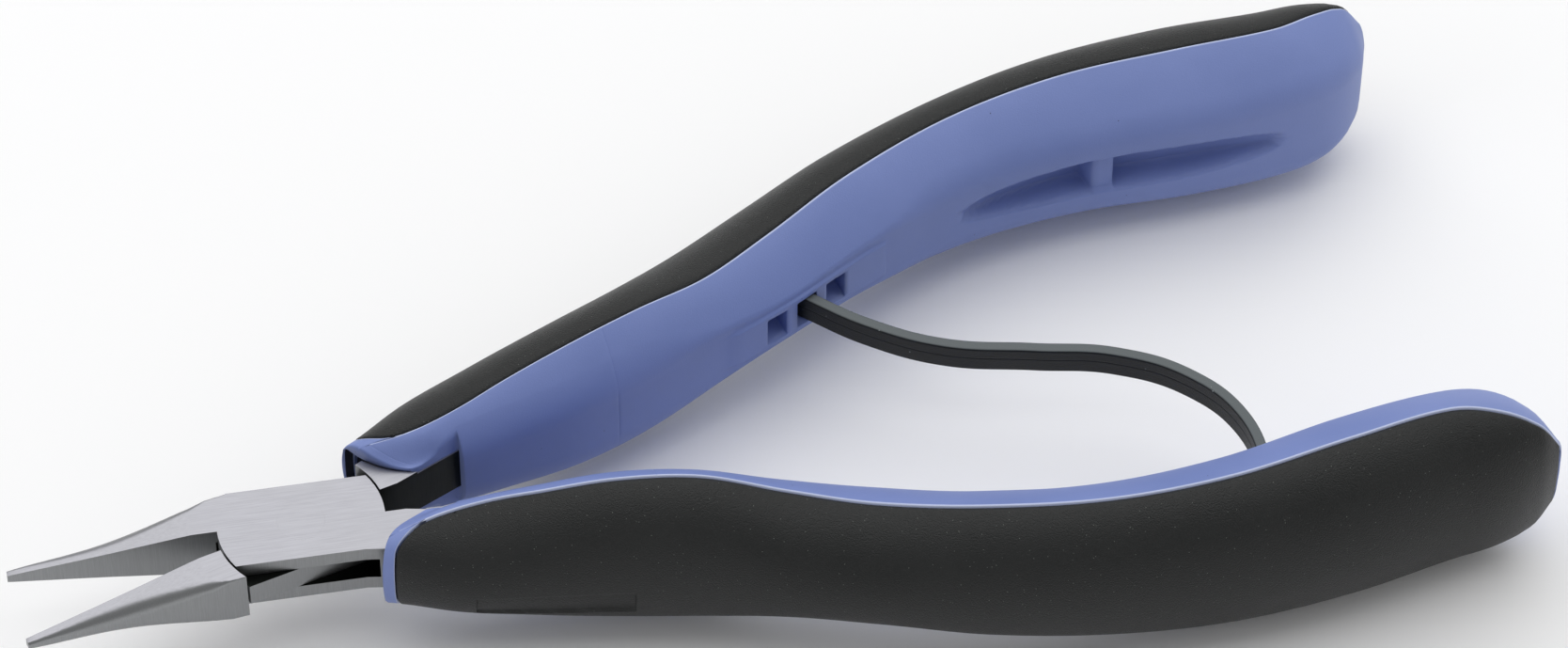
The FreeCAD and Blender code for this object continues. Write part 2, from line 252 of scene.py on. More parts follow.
def mouldedMaterial(name, look):
    material, tree, shader, place = newMaterial(name, Specular_IOR_Level=look["specular"])
    skin = addNode(tree, "ShaderNodeGroup", node_tree=mouldedSkin,
                   values={"Pebble Scale": look["pebble"], "Pebble Depth": 1.0,
                           "Dust Scale": look["dustScale"], "Dust Amount": look["dust"]})
    tree.links.new(place, skin.inputs["Vector"])
    mottle = ramp(tree, skin.outputs["Mottle"], ((0.35, 0.0), (0.65, 1.0)))
    colour = blendColour(tree, mottle, look["dark"], look["light"])
    # painted highlight: a pale line along the core's seam and around its rim
    if look["paintedHighlight"]:
        edge = addNode(tree, "ShaderNodeAttribute", attribute_name="seamHighlight")
        highlightShare = maths(tree, "MULTIPLY", edge.outputs["Fac"], look["paintedHighlight"])
        colour = blendColour(tree, highlightShare, colour, look["paintedHighlightColour"])
    # painted light: faces that turn upward get a lighter colour
    if "top" in look:
        face = addNode(tree, "ShaderNodeSeparateXYZ")
        tree.links.new(addNode(tree, "ShaderNodeNewGeometry").outputs["Normal"], face.inputs[0])
        colour = blendColour(tree, ramp(tree, face.outputs[2], ((0.6, 0.0), (0.95, 1.0))), colour, look["top"])
    tree.links.new(blendColour(tree, skin.outputs["Dust"], colour, look["dustColour"]), shader.inputs["Base Color"])
    rough = ramp(tree, skin.outputs["Mottle"], ((0.3, look["rough"] - 0.05), (0.7, look["rough"] + 0.05)))
    tree.links.new(rough, shader.inputs["Roughness"])
    bump(tree, shader, skin.outputs["Height"], look["bump"], look["bumpDistance"])
    return material


bluePlastic = mouldedMaterial("bluePlastic", {
    "dark": (0.168, 0.226, 0.490), "light": (0.188, 0.248, 0.525), "dustColour": (0.05, 0.06, 0.12),
    "rough": 0.5, "specular": 0.42, "pebble": 8000.0, "bump": 0.3, "bumpDistance": 0.00003,
    "dust": 0.004, "dustScale": 2400.0, "paintedHighlight": 0.85, "paintedHighlightColour": (0.60, 0.66, 0.86)})
blackCover = mouldedMaterial("blackCover", {
    "dark": (0.005, 0.006, 0.006), "light": (0.009, 0.010, 0.010), "dustColour": (0.20, 0.22, 0.20),
    "rough": 0.44, "specular": 0.36, "pebble": 7600.0, "bump": 1.0, "bumpDistance": 0.00006,
    "dust": 0.055, "dustScale": 4600.0, "paintedHighlight": 0.0})
# the spring's upward faces are painted lighter, as painted light
springSkin = mouldedMaterial("springSkin", {
    "dark": (0.003, 0.004, 0.004), "light": (0.006, 0.007, 0.007), "dustColour": (0.22, 0.24, 0.24),
    "top": (0.105, 0.120, 0.124), "rough": 0.48, "specular": 0.3, "pebble": 8000.0, "bump": 0.5,
    "bumpDistance": 0.00004, "dust": 0.01, "dustScale": 2400.0, "paintedHighlight": 0.0})
# near-black blue inside the grip's mouth cavity: painted shade
mouthPaintedShade = mouldedMaterial("mouthPaintedShade", {
    "dark": (0.010, 0.012, 0.022), "light": (0.016, 0.019, 0.034), "dustColour": (0.05, 0.06, 0.12),
    "rough": 0.7, "specular": 0.1, "pebble": 8000.0, "bump": 0.2, "bumpDistance": 0.00003,
    "dust": 0.0, "dustScale": 2400.0, "paintedHighlight": 0.0})


# Ground steel: long lines on the flats, upright lines on the sides; upright faces are multiplied darker than the flats
# as painted shade
def steelMaterial(name, look):
    material, tree, shader, place = newMaterial(name, Metallic=1.0)
    level = addNode(tree, "ShaderNodeMapping", values={"Rotation": (0, 0, math.radians(look["turn"]))})
    tree.links.new(place, level.inputs[0])
    place = level.outputs[0]
    face = addNode(tree, "ShaderNodeSeparateXYZ")
    tree.links.new(addNode(tree, "ShaderNodeNewGeometry").outputs["Normal"], face.inputs[0])
    flat = ramp(tree, maths(tree, "ABSOLUTE", face.outputs[2]), ((0.80, 0.0), (0.93, 1.0)))
    upright = addNode(tree, "ShaderNodeMapping", values={"Rotation": (0, math.pi / 2, 0)})
    tree.links.new(place, upright.inputs[0])
    marks = []
    for position in (place, upright.outputs[0]):
        group = addNode(tree, "ShaderNodeGroup", node_tree=brushedLines,
                        values={"Line Scale": look["lines"], "Stretch": look["stretch"]})
        tree.links.new(position, group.inputs["Vector"])
        marks.append(group)
    lines = blendColour(tree, flat, marks[1].outputs["Lines"], marks[0].outputs["Lines"])
    shade = ramp(tree, lines, ((0.3, look["dark"]), (0.7, look["light"])))
    stained = blendColour(tree, ramp(tree, marks[0].outputs["Stain"], ((0.4, 0.0), (0.75, 0.35))), shade, look["stain"])
    # painted shade: the upright sides are multiplied by a darker tint
    shadedSides = blendColour(tree, 1.0, stained, look["sideShadeTint"], "MULTIPLY")
    tree.links.new(blendColour(tree, flat, shadedSides, stained), shader.inputs["Base Color"])
    rough = ramp(tree, lines, ((0.3, look["rough"] + 0.06), (0.7, look["rough"] - 0.06)))
    tree.links.new(rough, shader.inputs["Roughness"])
    raised = blendColour(tree, marks[0].outputs["Scratches"], lines, (0.0, 0.0, 0.0))
    bump(tree, shader, raised, look["bump"], look["bumpDistance"])
    return material


groundSteel = {
    "dark": (0.32, 0.32, 0.345), "light": (0.38, 0.38, 0.41), "stain": (0.34, 0.34, 0.355),
    "sideShadeTint": (0.80, 0.82, 0.78), "rough": 0.38, "lines": 14000.0, "stretch": 0.02,
    "bump": 0.22, "bumpDistance": 0.00002}
easedEdge = {**groundSteel, "dark": (0.30, 0.30, 0.31), "light": (0.42, 0.42, 0.44), "sideShadeTint": (0.8, 0.8, 0.8),
             "rough": 0.32, "bump": 0.1}
# near-black steel for the slot's faces and the tang's inner side: painted shade
shadeSteel = {**groundSteel, "dark": (0.009, 0.010, 0.009), "light": (0.017, 0.019, 0.017),
             "stain": (0.026, 0.028, 0.026), "sideShadeTint": (0.8, 0.8, 0.8), "rough": 0.34, "bump": 0.12}
steelLooks = {}
for key, turn in (("cheek", openAngle / 2), ("tongue", -openAngle / 2)):
    steelLooks[key] = [steelMaterial(key + label, {**look, "turn": turn}) for label, look in
                       (("Ground", groundSteel), ("Edge", easedEdge), ("Shaded", shadeSteel))]
print("materials built")


# Steel pieces: the CAD solids with their doubles merged, their edges eased, and near-black painted shade on the faces
# in the slot and on the tang's inner side
steelPieces = {
    "cheekLeverSteel": {"node": "cheek_lever", "body": "lower_handle_side", "slot": "brushed_tool_steel",
                        "looks": "cheek", "ease": 0.09, "side": -1},
    "tongueLeverSteel": {"node": "tongue_lever", "body": "upper_handle_side", "slot": "brushed_tool_steel",
                         "looks": "tongue", "ease": 0.09, "side": 1},
    "pivotPinSteel": {"node": "pivot_pin", "body": "lower_handle_side", "slot": "pin_steel",
                      "looks": "cheek", "ease": 0.012, "side": -1},
}
steelDetail = {"sharpAngle": 24.0, "boreRadius": 2.45, "slotHalf": 1.6, "slotRadius": 8.4,
               "tangStart": 6.0, "tangSide": 4.5}


def atBore(edge):
    return all(math.hypot(v.co.x, v.co.y) < steelDetail["boreRadius"] * mm for v in edge.verts)


# Faces that get near-black steel as painted shade: inside the slot, on the tongue, and the tang's side towards the
# other handle
def takesShadeSteel(face, side):
    centre, normal = face.calc_center_median(), face.normal
    inSlot = math.hypot(centre.x, centre.y) < steelDetail["slotRadius"] * mm
    if inSlot and abs(centre.z) < steelDetail["slotHalf"] * mm and abs(normal.z) > 0.9:
        return True
    turn = math.radians(-side * openAngle / 2)
    x = centre.x * math.cos(turn) - centre.y * math.sin(turn)
    y = (centre.x * math.sin(turn) + centre.y * math.cos(turn)) * side
    out = (normal.x * math.sin(turn) + normal.y * math.cos(turn)) * side
    return x > steelDetail["tangStart"] * mm and y < steelDetail["tangSide"] * mm and out < -0.5


def easedSteel(name, item):
    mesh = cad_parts[item["node"]].data.copy()
    mesh.name = name
    mesh.materials.clear()
    for look in steelLooks[item["looks"]]:
        mesh.materials.append(look)
    work = bmesh.new()
    work.from_mesh(mesh)
    bmesh.ops.remove_doubles(work, verts=work.verts, dist=1e-6)
    bmesh.ops.dissolve_limit(work, angle_limit=math.radians(0.4), verts=work.verts, edges=work.edges)
    work.normal_update()
    for face in work.faces:
        face.material_index = 2 if takesShadeSteel(face, item["side"]) else 0
    sharp = []
    for edge in work.edges:
        if len(edge.link_faces) == 2 and edge.calc_face_angle(0.0) > math.radians(steelDetail["sharpAngle"]):
            if item["node"] == "pivot_pin" or not atBore(edge):
                sharp.append(edge)
    bmesh.ops.bevel(work, geom=sharp, offset=item["ease"] * mm, offset_type="OFFSET", segments=2, profile=0.5,
                    affect="EDGES", clamp_overlap=True, material=1)
    work.to_mesh(mesh)
    work.free()
    mesh.polygons.foreach_set("use_smooth", [True] * len(mesh.polygons))
    piece = bpy.data.objects.new(name, mesh)
    scene.collection.objects.link(piece)
    return piece


for name, item in steelPieces.items():
    piece = easedSteel(name, item)
    weigh = piece.modifiers.new("weigh", "WEIGHTED_NORMAL")
    weigh.mode = "FACE_AREA"
    weigh.weight = 80
    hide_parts(item["node"])
    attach(piece, item["body"])
print("steel built")


# Grips: sections along one handle drawn closed on the +Y side, in millimetres
grip = {
    "inner": ((5, 1.5), (14, 0.8), (22, 0.5), (30, 0.5), (38, 1.6), (46, 3.3), (54, 4.9), (64, 7.5), (76, 9.3),
              (88, 8.4), (100, 5.9), (110, 4.6), (115, 5.0), (118.8, 7.3), (120.9, 10.5)),
    "outer": ((5, 6.3), (8, 7.2), (14, 9.5), (22, 10.6), (30, 11.5), (38, 12.8), (46, 15.2), (54, 17.5), (64, 19.8),
              (76, 21.2), (88, 21.4), (100, 19.9), (110, 17.4), (115, 16.2), (118.8, 14.4), (120.9, 12.6)),
    "seam": ((5, 5.1), (8, 4.5), (13, 3.4), (18, 3.3), (23, 3.8), (30, 4.4), (38, 5.5), (46, 7.4), (54, 10.0),
             (64, 12.8), (76, 14.6), (88, 14.3), (100, 12.1), (110, 10.3), (115, 10.9), (118.8, 11.8), (120.9, 11.9)),
    "seamHeight": ((5, 4.0), (8, 4.8), (14, 6.1), (22, 7.8), (30, 9.1), (38, 9.2), (46, 7.6), (54, 7.3), (64, 8.3),
                   (76, 9.2), (88, 9.9), (100, 10.4), (110, 10.4), (115, 9.6), (118.8, 7.6), (120.9, 4.3)),
    "innerHeight": ((5, 3.6), (14, 3.7), (22, 4.3), (30, 4.8), (38, 4.8), (46, 3.9), (54, 3.1), (64, 3.6), (76, 4.8),
                    (88, 5.2), (100, 5.7), (110, 5.9), (115, 5.6), (118.8, 4.5), (120.9, 2.7)),
    "corner": ((17.2, 1.9), (22, 1.9), (38, 1.7), (45, 0.5), (66, 0.5), (72, 1.6), (114, 1.6), (118.8, 1.2),
               (120.9, 0.8)),
    "swell": 0.45,
    "lastRows": (118.5, 119.0, 119.5, 119.9, 120.2, 120.5, 120.7),  # sections close together at the blunt end
    "end": 120.9,
    "windowCorner": 0.4,  # the inner edges are sharper beside the mouth's opening
    "even": (15.0, 118.0, 0.8),  # first, last and pitch of the evenly spaced sections
    "closest": 0.019,  # sections nearer than this to the last one are left out
    "mouth": ((6.9, 6.9), (9.2, 2.9), (13.0, 0.5)),
    "tangEdge": ((10.1, 0.25), (28.0, 3.6)),
    "windowEnd": 17.2,  # where the inner wall starts behind the mouth
    "rim": 1.1,  # core showing in front of the cover
    "ledge": 0.9,  # how far the core drops under the cover
    "rimCorner": (2.6, 0.42),  # the cover's rounded front corner: how far back, and over what share of its width
    "lip": 0.22,  # rounding of the mouth's edge
    "lipHeight": 3.55,  # the core is only this high over the tang, and rises behind
    "lipRun": 5.5,
    "lipRows": (0.0, 0.03, 0.07, 0.12, 0.17, 0.23, 0.4, 0.6, 0.8),  # sections behind the mouth's edge
    "rimRows": (-0.14, 0.0, 0.02),  # and about the rim, where the core steps down
    "stepOut": (0.12, 0.16),  # how far the top and the foot of that step lie outside the seam
    "stepDown": 0.10,  # and how far its top lies below the surface
    "cavityWall": 0.5,
    "cavityHeight": 2.95,
    "cavityDepth": 9.0,
    "score": (1.05, 0.03),  # shallow line behind the lip: place and depth
    "partingLine": (33.8, 0.05),
    "pad": (46.5, 66.0, 2.6, 0.3),  # first x, last x, half height, rise
    "notches": (52.4, 56.0, 59.6),
    "notch": (2.2, 1.75, 2.2),  # width, half height, depth
    "trough": (75.0, 108.5, 2.7, 3.0),  # first x, last x, half height, depth
    "rib": (89.4, 91.4),
}


def circleThrough(a, b, c):
    d = 2 * (a[0] * (b[1] - c[1]) + b[0] * (c[1] - a[1]) + c[0] * (a[1] - b[1]))
    sq = [p[0]**2 + p[1]**2 for p in (a, b, c)]
    x = (sq[0] * (b[1] - c[1]) + sq[1] * (c[1] - a[1]) + sq[2] * (a[1] - b[1])) / d
    y = (sq[0] * (c[0] - b[0]) + sq[1] * (a[0] - c[0]) + sq[2] * (b[0] - a[0])) / d
    return x, y, math.hypot(a[0] - x, a[1] - y)


mouthCircle = circleThrough(*grip["mouth"])


def mouthX(y):
    cx, cy, radius = mouthCircle
    reach = max(radius**2 - (y - cy)**2, 0.0)
    return cx - math.sqrt(reach)


def tangInner(x):
    (x0, y0), (x1, y1) = grip["tangEdge"]
    return y0 + max(x - x0, 0.0) * (y1 - y0) / (x1 - x0)


def flankHeight(x, y):
    inner, seam = along(grip["inner"], x), along(grip["seam"], x)
    low, high = along(grip["innerHeight"], x), along(grip["seamHeight"], x)
    t = min(max((y - inner) / (seam - inner), 0.0), 1.0)
    return low + (high - low) * t + 4 * grip["swell"] * t * (1 - t)


def faceEdge(x):
    y = along(grip["inner"], x)
    if x < grip["windowEnd"] - 0.01:
        y = max(y, tangInner(x) + 0.15)
    return y, flankHeight(x, y)


# Columns of the top half: (part, share), from the middle of the inner face to the middle of the outside
faceSteps = 24
cornerSteps = 5
flankSteps = 12
outerSteps = 24
topHalf = [("face", i / faceSteps) for i in range(faceSteps + 1)]
topHalf += [("corner", i / cornerSteps) for i in range(1, cornerSteps + 1)]
topHalf += [("flank", i / flankSteps) for i in range(1, flankSteps)] + [("flank", 0.97), ("flank", 1.0)]
outerHalf = [("outer", i / outerSteps) for i in range(1, outerSteps + 1)]


def skin(x, part, share, inset=0.0):
    faceY, faceHigh = faceEdge(x)
    corner = along(grip["corner"], x) if x > grip["windowEnd"] - 0.01 else grip["windowCorner"]
    corner = min(corner, 0.45 * faceHigh)
    if part == "face":
        return faceY, (faceHigh - corner) * share
    bendY = faceY + 0.8 * corner
    if part == "corner":
        a, b, c = (1 - share)**2, 2 * share * (1 - share), share**2
        return faceY * (a + b) + bendY * c, (faceHigh - corner) * a + faceHigh * b + flankHeight(x, bendY) * c
    seam, high = along(grip["seam"], x), along(grip["seamHeight"], x)
    if part == "flank":
        y = bendY + (seam - bendY) * share
        return y, flankHeight(x, y)
    outer = max(along(grip["outer"], x) - inset, seam + 0.3)
    turn = math.pi / 2 * (1 - share)
    return seam + (outer - seam) * math.cos(turn), (high - inset) * math.sin(turn)


def frontX(part, share):
    x = 9.0
    for _ in range(12):
        x = 0.5 * x + 0.5 * mouthX(skin(x, part, share)[0])
    return x


# Dents and rises of the inner face, as depth into the handle
def faceDepth(x, z):
    z = abs(z)
    first, last, half, rise = grip["pad"]
    depth = -rise * ease(first, first + 1.2, x) * (1 - ease(last - 0.3, last, x)) * (1 - ease(half - 0.25, half, z))
    wide, half, deep = grip["notch"]
    for place in grip["notches"]:
        over = 1 - ease(wide / 2 - 0.1, wide / 2 + 0.1, abs(x - place))
        depth = depth + (deep - depth) * over * (1 - ease(half - 0.12, half + 0.12, z))
    first, last, half, deep = grip["trough"]
    u = (2 * x - first - last) / (last - first)
    if abs(u) < 1:
        rib = ease(grip["rib"][0] - 0.5, grip["rib"][0], x) * (1 - ease(grip["rib"][1], grip["rib"][1] + 0.5, x))
        wide = half * (1 - u * u)**0.35
        wall = 1 - ease(wide - 0.55, wide, z)
        depth += deep * math.sqrt(1 - u * u) * wall * (1 - 0.8 * rib)
    return depth


def bases(first, last, pitch):
    count = max(int(round((last - first) / pitch)), 1)
    return [first + (last - first) * i / count for i in range(count)]


def rimAt(part, share):
    far, width = grip["rimCorner"]
    if part == "edge":
        share = 0.0
    elif part != "outer":
        return grip["rim"]
    lean = 1 - min(share / width, 1.0)
    return grip["rim"] + far * (1 - math.sqrt(1 - lean * lean))


# Sections in order, without those that come too close to the one before
def spaced(stops):
    stops = sorted(round(x, 3) for x in stops)
    kept = stops[:1]
    for x in stops[1:]:
        if x - kept[-1] > grip["closest"]:
            kept.append(x)
    return kept


# Even sections, and closer ones at each step of the inner face
def bodyRows():
    steps = [(grip["windowEnd"], (-0.03, 0.0)), (grip["partingLine"][0], (-0.08, -0.03, 0.0, 0.03, 0.08)),
             (grip["pad"][1], (-0.3, -0.2, -0.1, 0.0))]
    for place in grip["notches"]:
        for side in (-1, 1):
            steps.append((place + side * grip["notch"][0] / 2, (-0.1, -0.06, -0.02, 0.02, 0.06, 0.1)))
    for edge in (grip["rib"][0] - 0.5, grip["rib"][1]):
        steps.append((edge, (0.0, 0.12, 0.25, 0.37, 0.5)))
    stops = bases(*grip["even"]) + [place + d for place, offsets in steps for d in offsets]
    return spaced(stops) + list(grip["lastRows"]) + [grip["end"]]


def rowX(row, start, nearEnd, rim):
    kind, value = row
    if kind == "near":
        return start + (value * rim / grip["rim"] if value <= grip["rim"] else value + rim - grip["rim"])
    if kind == "blend":
        return (start + nearEnd + rim - grip["rim"]) * (1 - value) + grip["even"][0] * value
    return value


# Closing the blunt end: the last section shrinks to its middle
def endCap(grid, points, middle, reach):
    for share in (0.93, 0.75, 0.45):
        row = []
        for x, y, z in points:
            row.append((x + reach * math.sqrt(1 - share**2), middle + (y - middle) * share, z * share))
        grid.append(row)


def ringFaces(rows, count, firstCap, lastCap):
    faces = []
    for i in range(rows - 1):
        for j in range(count):
            k = (j + 1) % count
            faces.append((i * count + j, i * count + k, (i + 1) * count + k, (i + 1) * count + j))
    if firstCap:
        faces.append(tuple(range(count)))
    if lastCap:
        faces.append(tuple((rows - 1) * count + j for j in range(count)))
    return faces


def coreGrid():
    columns = topHalf + [("edge", 0.0), ("edge", 1.0)] + outerHalf
    loop = [(part, share, 1) for part, share in columns]
    loop += [(part, share, -1) for part, share in columns[-2:0:-1]]
    nearEnd = grip["rim"] + 0.3
    near = list(grip["lipRows"]) + [grip["score"][0] + d for d in (-0.12, -0.04, 0.12)]
    near += [grip["rim"] + d for d in grip["rimRows"]]
    rows = [("near", d) for d in sorted(near) + [nearEnd]]
    rows += [("blend", w) for w in (0.2, 0.4, 0.6, 0.8)] + [("at", x) for x in bodyRows()]
    starts = [frontX("flank", 1.0) if part == "edge" else frontX(part, share) for part, share, _ in loop]
    grid = []

    def hollow(x, y, z):
        low, high = tangInner(x) + 0.3, along(grip["outer"], x) - grip["cavityWall"]
        return min(max(y, low), high), min(max(z, -grip["cavityHeight"]), grip["cavityHeight"])

    def place(row, j):
        part, share, sign = loop[j]
        x = rowX(row, starts[j], nearEnd, rimAt(part, share))
        behind = row[0] != "near" or row[1] > grip["rim"] + 0.01
        if part == "edge":
            y, z = skin(x, "flank", 1.0)
            if behind:
                foot = share > 0.5
                y, z = y + grip["stepOut"][foot], z - (grip["ledge"] if foot else grip["stepDown"])
        else:
            y, z = skin(x, part, share, grip["ledge"] if behind else 0.0)
        if part == "face":
            y += faceDepth(x, z)
        if part in ("face", "corner", "flank") and x < grip["even"][0]:
            over = 1.0 if part != "flank" else 1 - share
            z -= max(z - grip["lipHeight"], 0.0) * over * (1 - ease(0.0, grip["lipRun"], x - starts[j]))
        groove = grip["partingLine"][1] * max(1 - abs(x - grip["partingLine"][0]) / 0.07, 0.0)
        if row[0] == "near" and part == "flank" and 0.08 < share < 0.97:
            groove += grip["score"][1] * max(1 - abs(row[1] - grip["score"][0]) / 0.1, 0.0)
        if part in ("flank", "corner"):
            z -= groove
        elif part == "face":
            y += groove
        if row[0] == "near" and row[1] < grip["lip"]:
            inY, inZ = hollow(x, y, z)
            gap = math.hypot(inY - y, inZ - z)
            pull = grip["lip"] - math.sqrt(max(grip["lip"]**2 - (grip["lip"] - row[1])**2, 0.0))
            share = min(pull / gap, 0.7) if gap > 1e-6 else 0.0
            y, z = y + (inY - y) * share, z + (inZ - z) * share
        return x, y, z * sign

    for row in rows:
        grid.append([place(row, j) for j in range(len(loop))])
    endCap(grid, grid[-1], along(grip["seam"], grip["end"]), 0.25)
    inside = []
    for depth in (0.25, grip["cavityDepth"]):
        ring = []
        for x, y, z in grid[0]:
            inY, inZ = hollow(x + depth, y, z)
            ring.append((x + depth, inY, inZ))
        inside.insert(0, ring)
    # painted highlight on the seam columns and the rim row
    paintedHighlight = [0.0] * (2 * len(loop))
    for i in range(len(grid)):
        inRim = i < len(rows) and rows[i][0] == "near" and rows[i][1] < grip["rim"]
        atRim = i < len(rows) and rows[i] == ("near", grip["rim"])
        for part, share, sign in loop:
            seam = (part == "flank" and share == 1.0) or (part == "edge" and share == 0.0)
            paintedHighlight.append(1.0 if (seam and not inRim) or (atRim and part in ("edge", "outer")) else 0.0)
    return inside + grid, paintedHighlight, len(loop)


cover = {
    "columns": 97,
    "gap": 0.1,  # from the core's rim to the cover
    "rounding": 0.3,  # of the front edge
    "frontRows": (0.0, 0.03, 0.08, 0.16, 0.3, 0.7, 1.2, 1.7),
    "edgeSink": (0.26, 0.09, 0.02),  # the first columns along the seam sink into the step
    "proud": (0.05, 1.004),  # how far the cover stands out of the handle's surface, outward and upward
    "overSeam": 0.22,  # and how far its edge stays outside the seam
    "wall": (0.85, 0.8),  # thickness, outward and upward
    "panel": {"x": (15.6, 30.6), "z": (-3.4, -0.2), "depth": 0.3, "soft": 0.12},
    "panelRows": (14.4, 31.8, 0.4),
}


def coverSection(x, share):
    seam, high = along(grip["seam"], x), along(grip["seamHeight"], x)
    outer = max(along(grip["outer"], x), seam + 0.5) + cover["proud"][0]
    turn = math.acos(min(cover["overSeam"] / (outer - seam), 0.6)) * (1 - 2 * share)
    y, z = seam + (outer - seam) * math.cos(turn), high * math.sin(turn) * cover["proud"][1]
    inY = seam + max(outer - seam - cover["wall"][0], 0.1) * math.cos(turn)
    return (y, z), (max(inY, seam + 0.2), (high - cover["wall"][1]) * math.sin(turn))


# How much of a point lies between two limits, with soft edges outside them
def within(limits, soft, value):
    return ease(limits[0] - soft, limits[0], value) * (1 - ease(limits[1], limits[1] + soft, value))


def coverGrid(withPanel):
    count = cover["columns"]
    panel = cover["panel"]
    rounding = cover["rounding"]
    begin, nearEnd = grip["rim"] + cover["gap"], grip["rim"] + 2.2
    stops = bases(*grip["even"])
    if withPanel:
        stops += bases(*cover["panelRows"]) + [edge + i * 0.06 for edge in panel["x"] for i in range(-3, 4)]
    rows = [("near", begin + d) for d in cover["frontRows"]] + [("near", nearEnd)]
    rows += [("blend", w) for w in (0.25, 0.5, 0.75)] + [("at", x) for x in spaced(stops) + list(grip["lastRows"])]
    shares = [1 - abs(1 - 2 * k / (count - 1)) for k in range(count)]
    starts = [frontX("outer", max(share, 0.02)) for share in shares]
    grid = []
    for row in rows:
        outside, inside = [], []
        for k in range(count):
            x = rowX(row, starts[k], nearEnd, rimAt("outer", shares[k]))
            (y, z), (inY, inZ) = coverSection(x, k / (count - 1))
            edge = min(k, count - 1 - k)
            push = cover["edgeSink"][edge] if edge < len(cover["edgeSink"]) else 0.0
            if row[0] == "near" and row[1] - begin < rounding:
                push += rounding - math.sqrt(max(rounding**2 - (rounding - row[1] + begin)**2, 0.0))
            if withPanel:
                push += panel["depth"] * within(panel["x"], panel["soft"], x) * within(panel["z"], panel["soft"], z)
            gap = math.hypot(inY - y, inZ - z)
            sink = min(push / max(gap, 1e-6), 0.8)
            outside.append((x, y + (inY - y) * sink, z + (inZ - z) * sink))
            inside.append((x, inY, inZ))
        grid.append(outside + inside[::-1])
    return grid, 2 * count


def coverFaces(rows, count):
    faces = ringFaces(rows, count, False, False)
    half = count // 2
    for base in (0, (rows - 1) * count):
        for k in range(half - 1):
            faces.append((base + k, base + k + 1, base + count - 2 - k, base + count - 1 - k))
    return faces


def corePiece(name, side):
    grid, paintedHighlight, count = coreGrid()
    points = [placed(p, side) for row in grid for p in row]
    faces = ringFaces(len(grid), count, True, True)
    # the cavity walls and its deep end take the painted shade material
    paintedShadeFaces = list(range(count)) + [len(faces) - 2]
    return makePiece(name, points, faces, [bluePlastic, mouthPaintedShade], paintedHighlight, paintedShadeFaces)


def coverPiece(name, side):
    grid, count = coverGrid(side < 0)
    points = [placed(p, side) for row in grid for p in row]
    return makePiece(name, points, coverFaces(len(grid), count), [blackCover])


for label, side, body in (("upper", 1, "upper_handle_side"), ("lower", -1, "lower_handle_side")):
    core = corePiece(label + "GripCore", side)
    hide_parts(label + "_grip_core")
    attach(core, body)
    skinPiece = coverPiece(label + "GripCover", side)
    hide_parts(label + "_grip_cover")
    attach(skinPiece, body)
print("grips built")


# Return spring: a strip swept along its path by Geometry Nodes
spring = {
    "start": (55.7, 1.05), "end": (93.28, 2.41),  # (x along its handle, depth into the inner face)
    "bow": ((0.0, 0.0), (0.15, -0.006), (0.3, 0.016), (0.46, 0.085), (0.6, 0.146), (0.75, 0.163), (0.88, 0.122),
            (1.0, 0.0)),
    "thickness": 1.15, "height": 3.2, "rounding": 0.22,
    "groove": 0.05, "grooveHalf": 0.09, "grooveAt": -0.25,  # depth, half width and height of the line on each side
    "steps": 160,
}


def springPath():
    ends = []
    for (x, inward), side in ((spring["start"], 1), (spring["end"], -1)):
        ends.append(Vector(placed((x, along(grip["inner"], x) + inward, 0.0), side)))
    way = ends[1] - ends[0]
    across = Vector((-way.y, way.x, 0.0))
    return [ends[0] + way * s + across * n for s, n in spring["bow"]]


